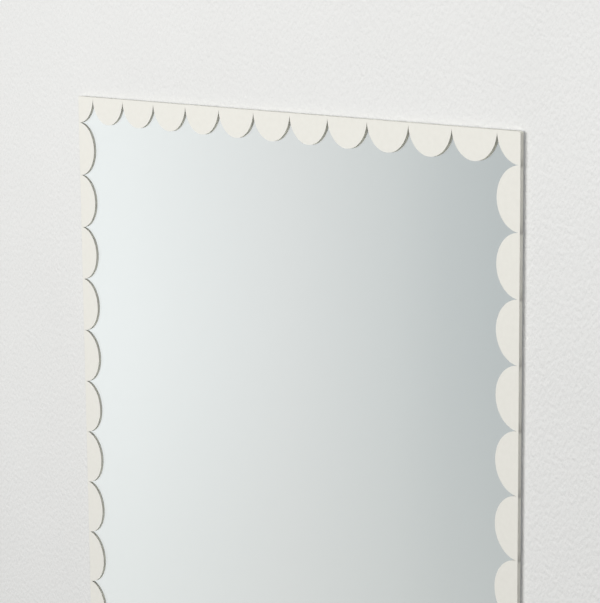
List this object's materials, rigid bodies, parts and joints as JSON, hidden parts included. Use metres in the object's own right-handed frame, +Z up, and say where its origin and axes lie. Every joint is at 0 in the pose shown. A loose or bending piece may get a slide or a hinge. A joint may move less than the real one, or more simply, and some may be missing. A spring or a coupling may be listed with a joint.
{
  "type": "wall mirror",
  "caption": "Frameless rectangular wall mirror with an off-white scalloped border printed on the front of the glass, held close to the wall by upright strips of foam tape.",
  "frame": {"origin": "middle of the rear face of the middle strip of tape, on the wall's surface, at the middle of the pane's width and height", "axes": "+X to the right as one faces the mirror, +Y into the wall, +Z up; the reflecting front looks along -Y"},
  "size_m": [0.6, 0.0042, 0.9],
  "materials": {
    "glass": "polished",
    "border_print": "satin",
    "silver": "polished",
    "base_paint": "matte",
    "top_paint": "matte",
    "film": "satin",
    "foam_tape": "matte"
  },
  "bodies": {
    "root": {"glass_pane": "glass", "scallop_border": "border_print", "silver_coat": "silver", "paint_base_coat": "base_paint", "paint_top_coat": "top_paint", "safety_film": "film", "tape_far_left": "foam_tape", "tape_left": "foam_tape", "tape_middle": "foam_tape", "tape_right": "foam_tape", "tape_far_right": "foam_tape"}
  },
  "joints": []
}
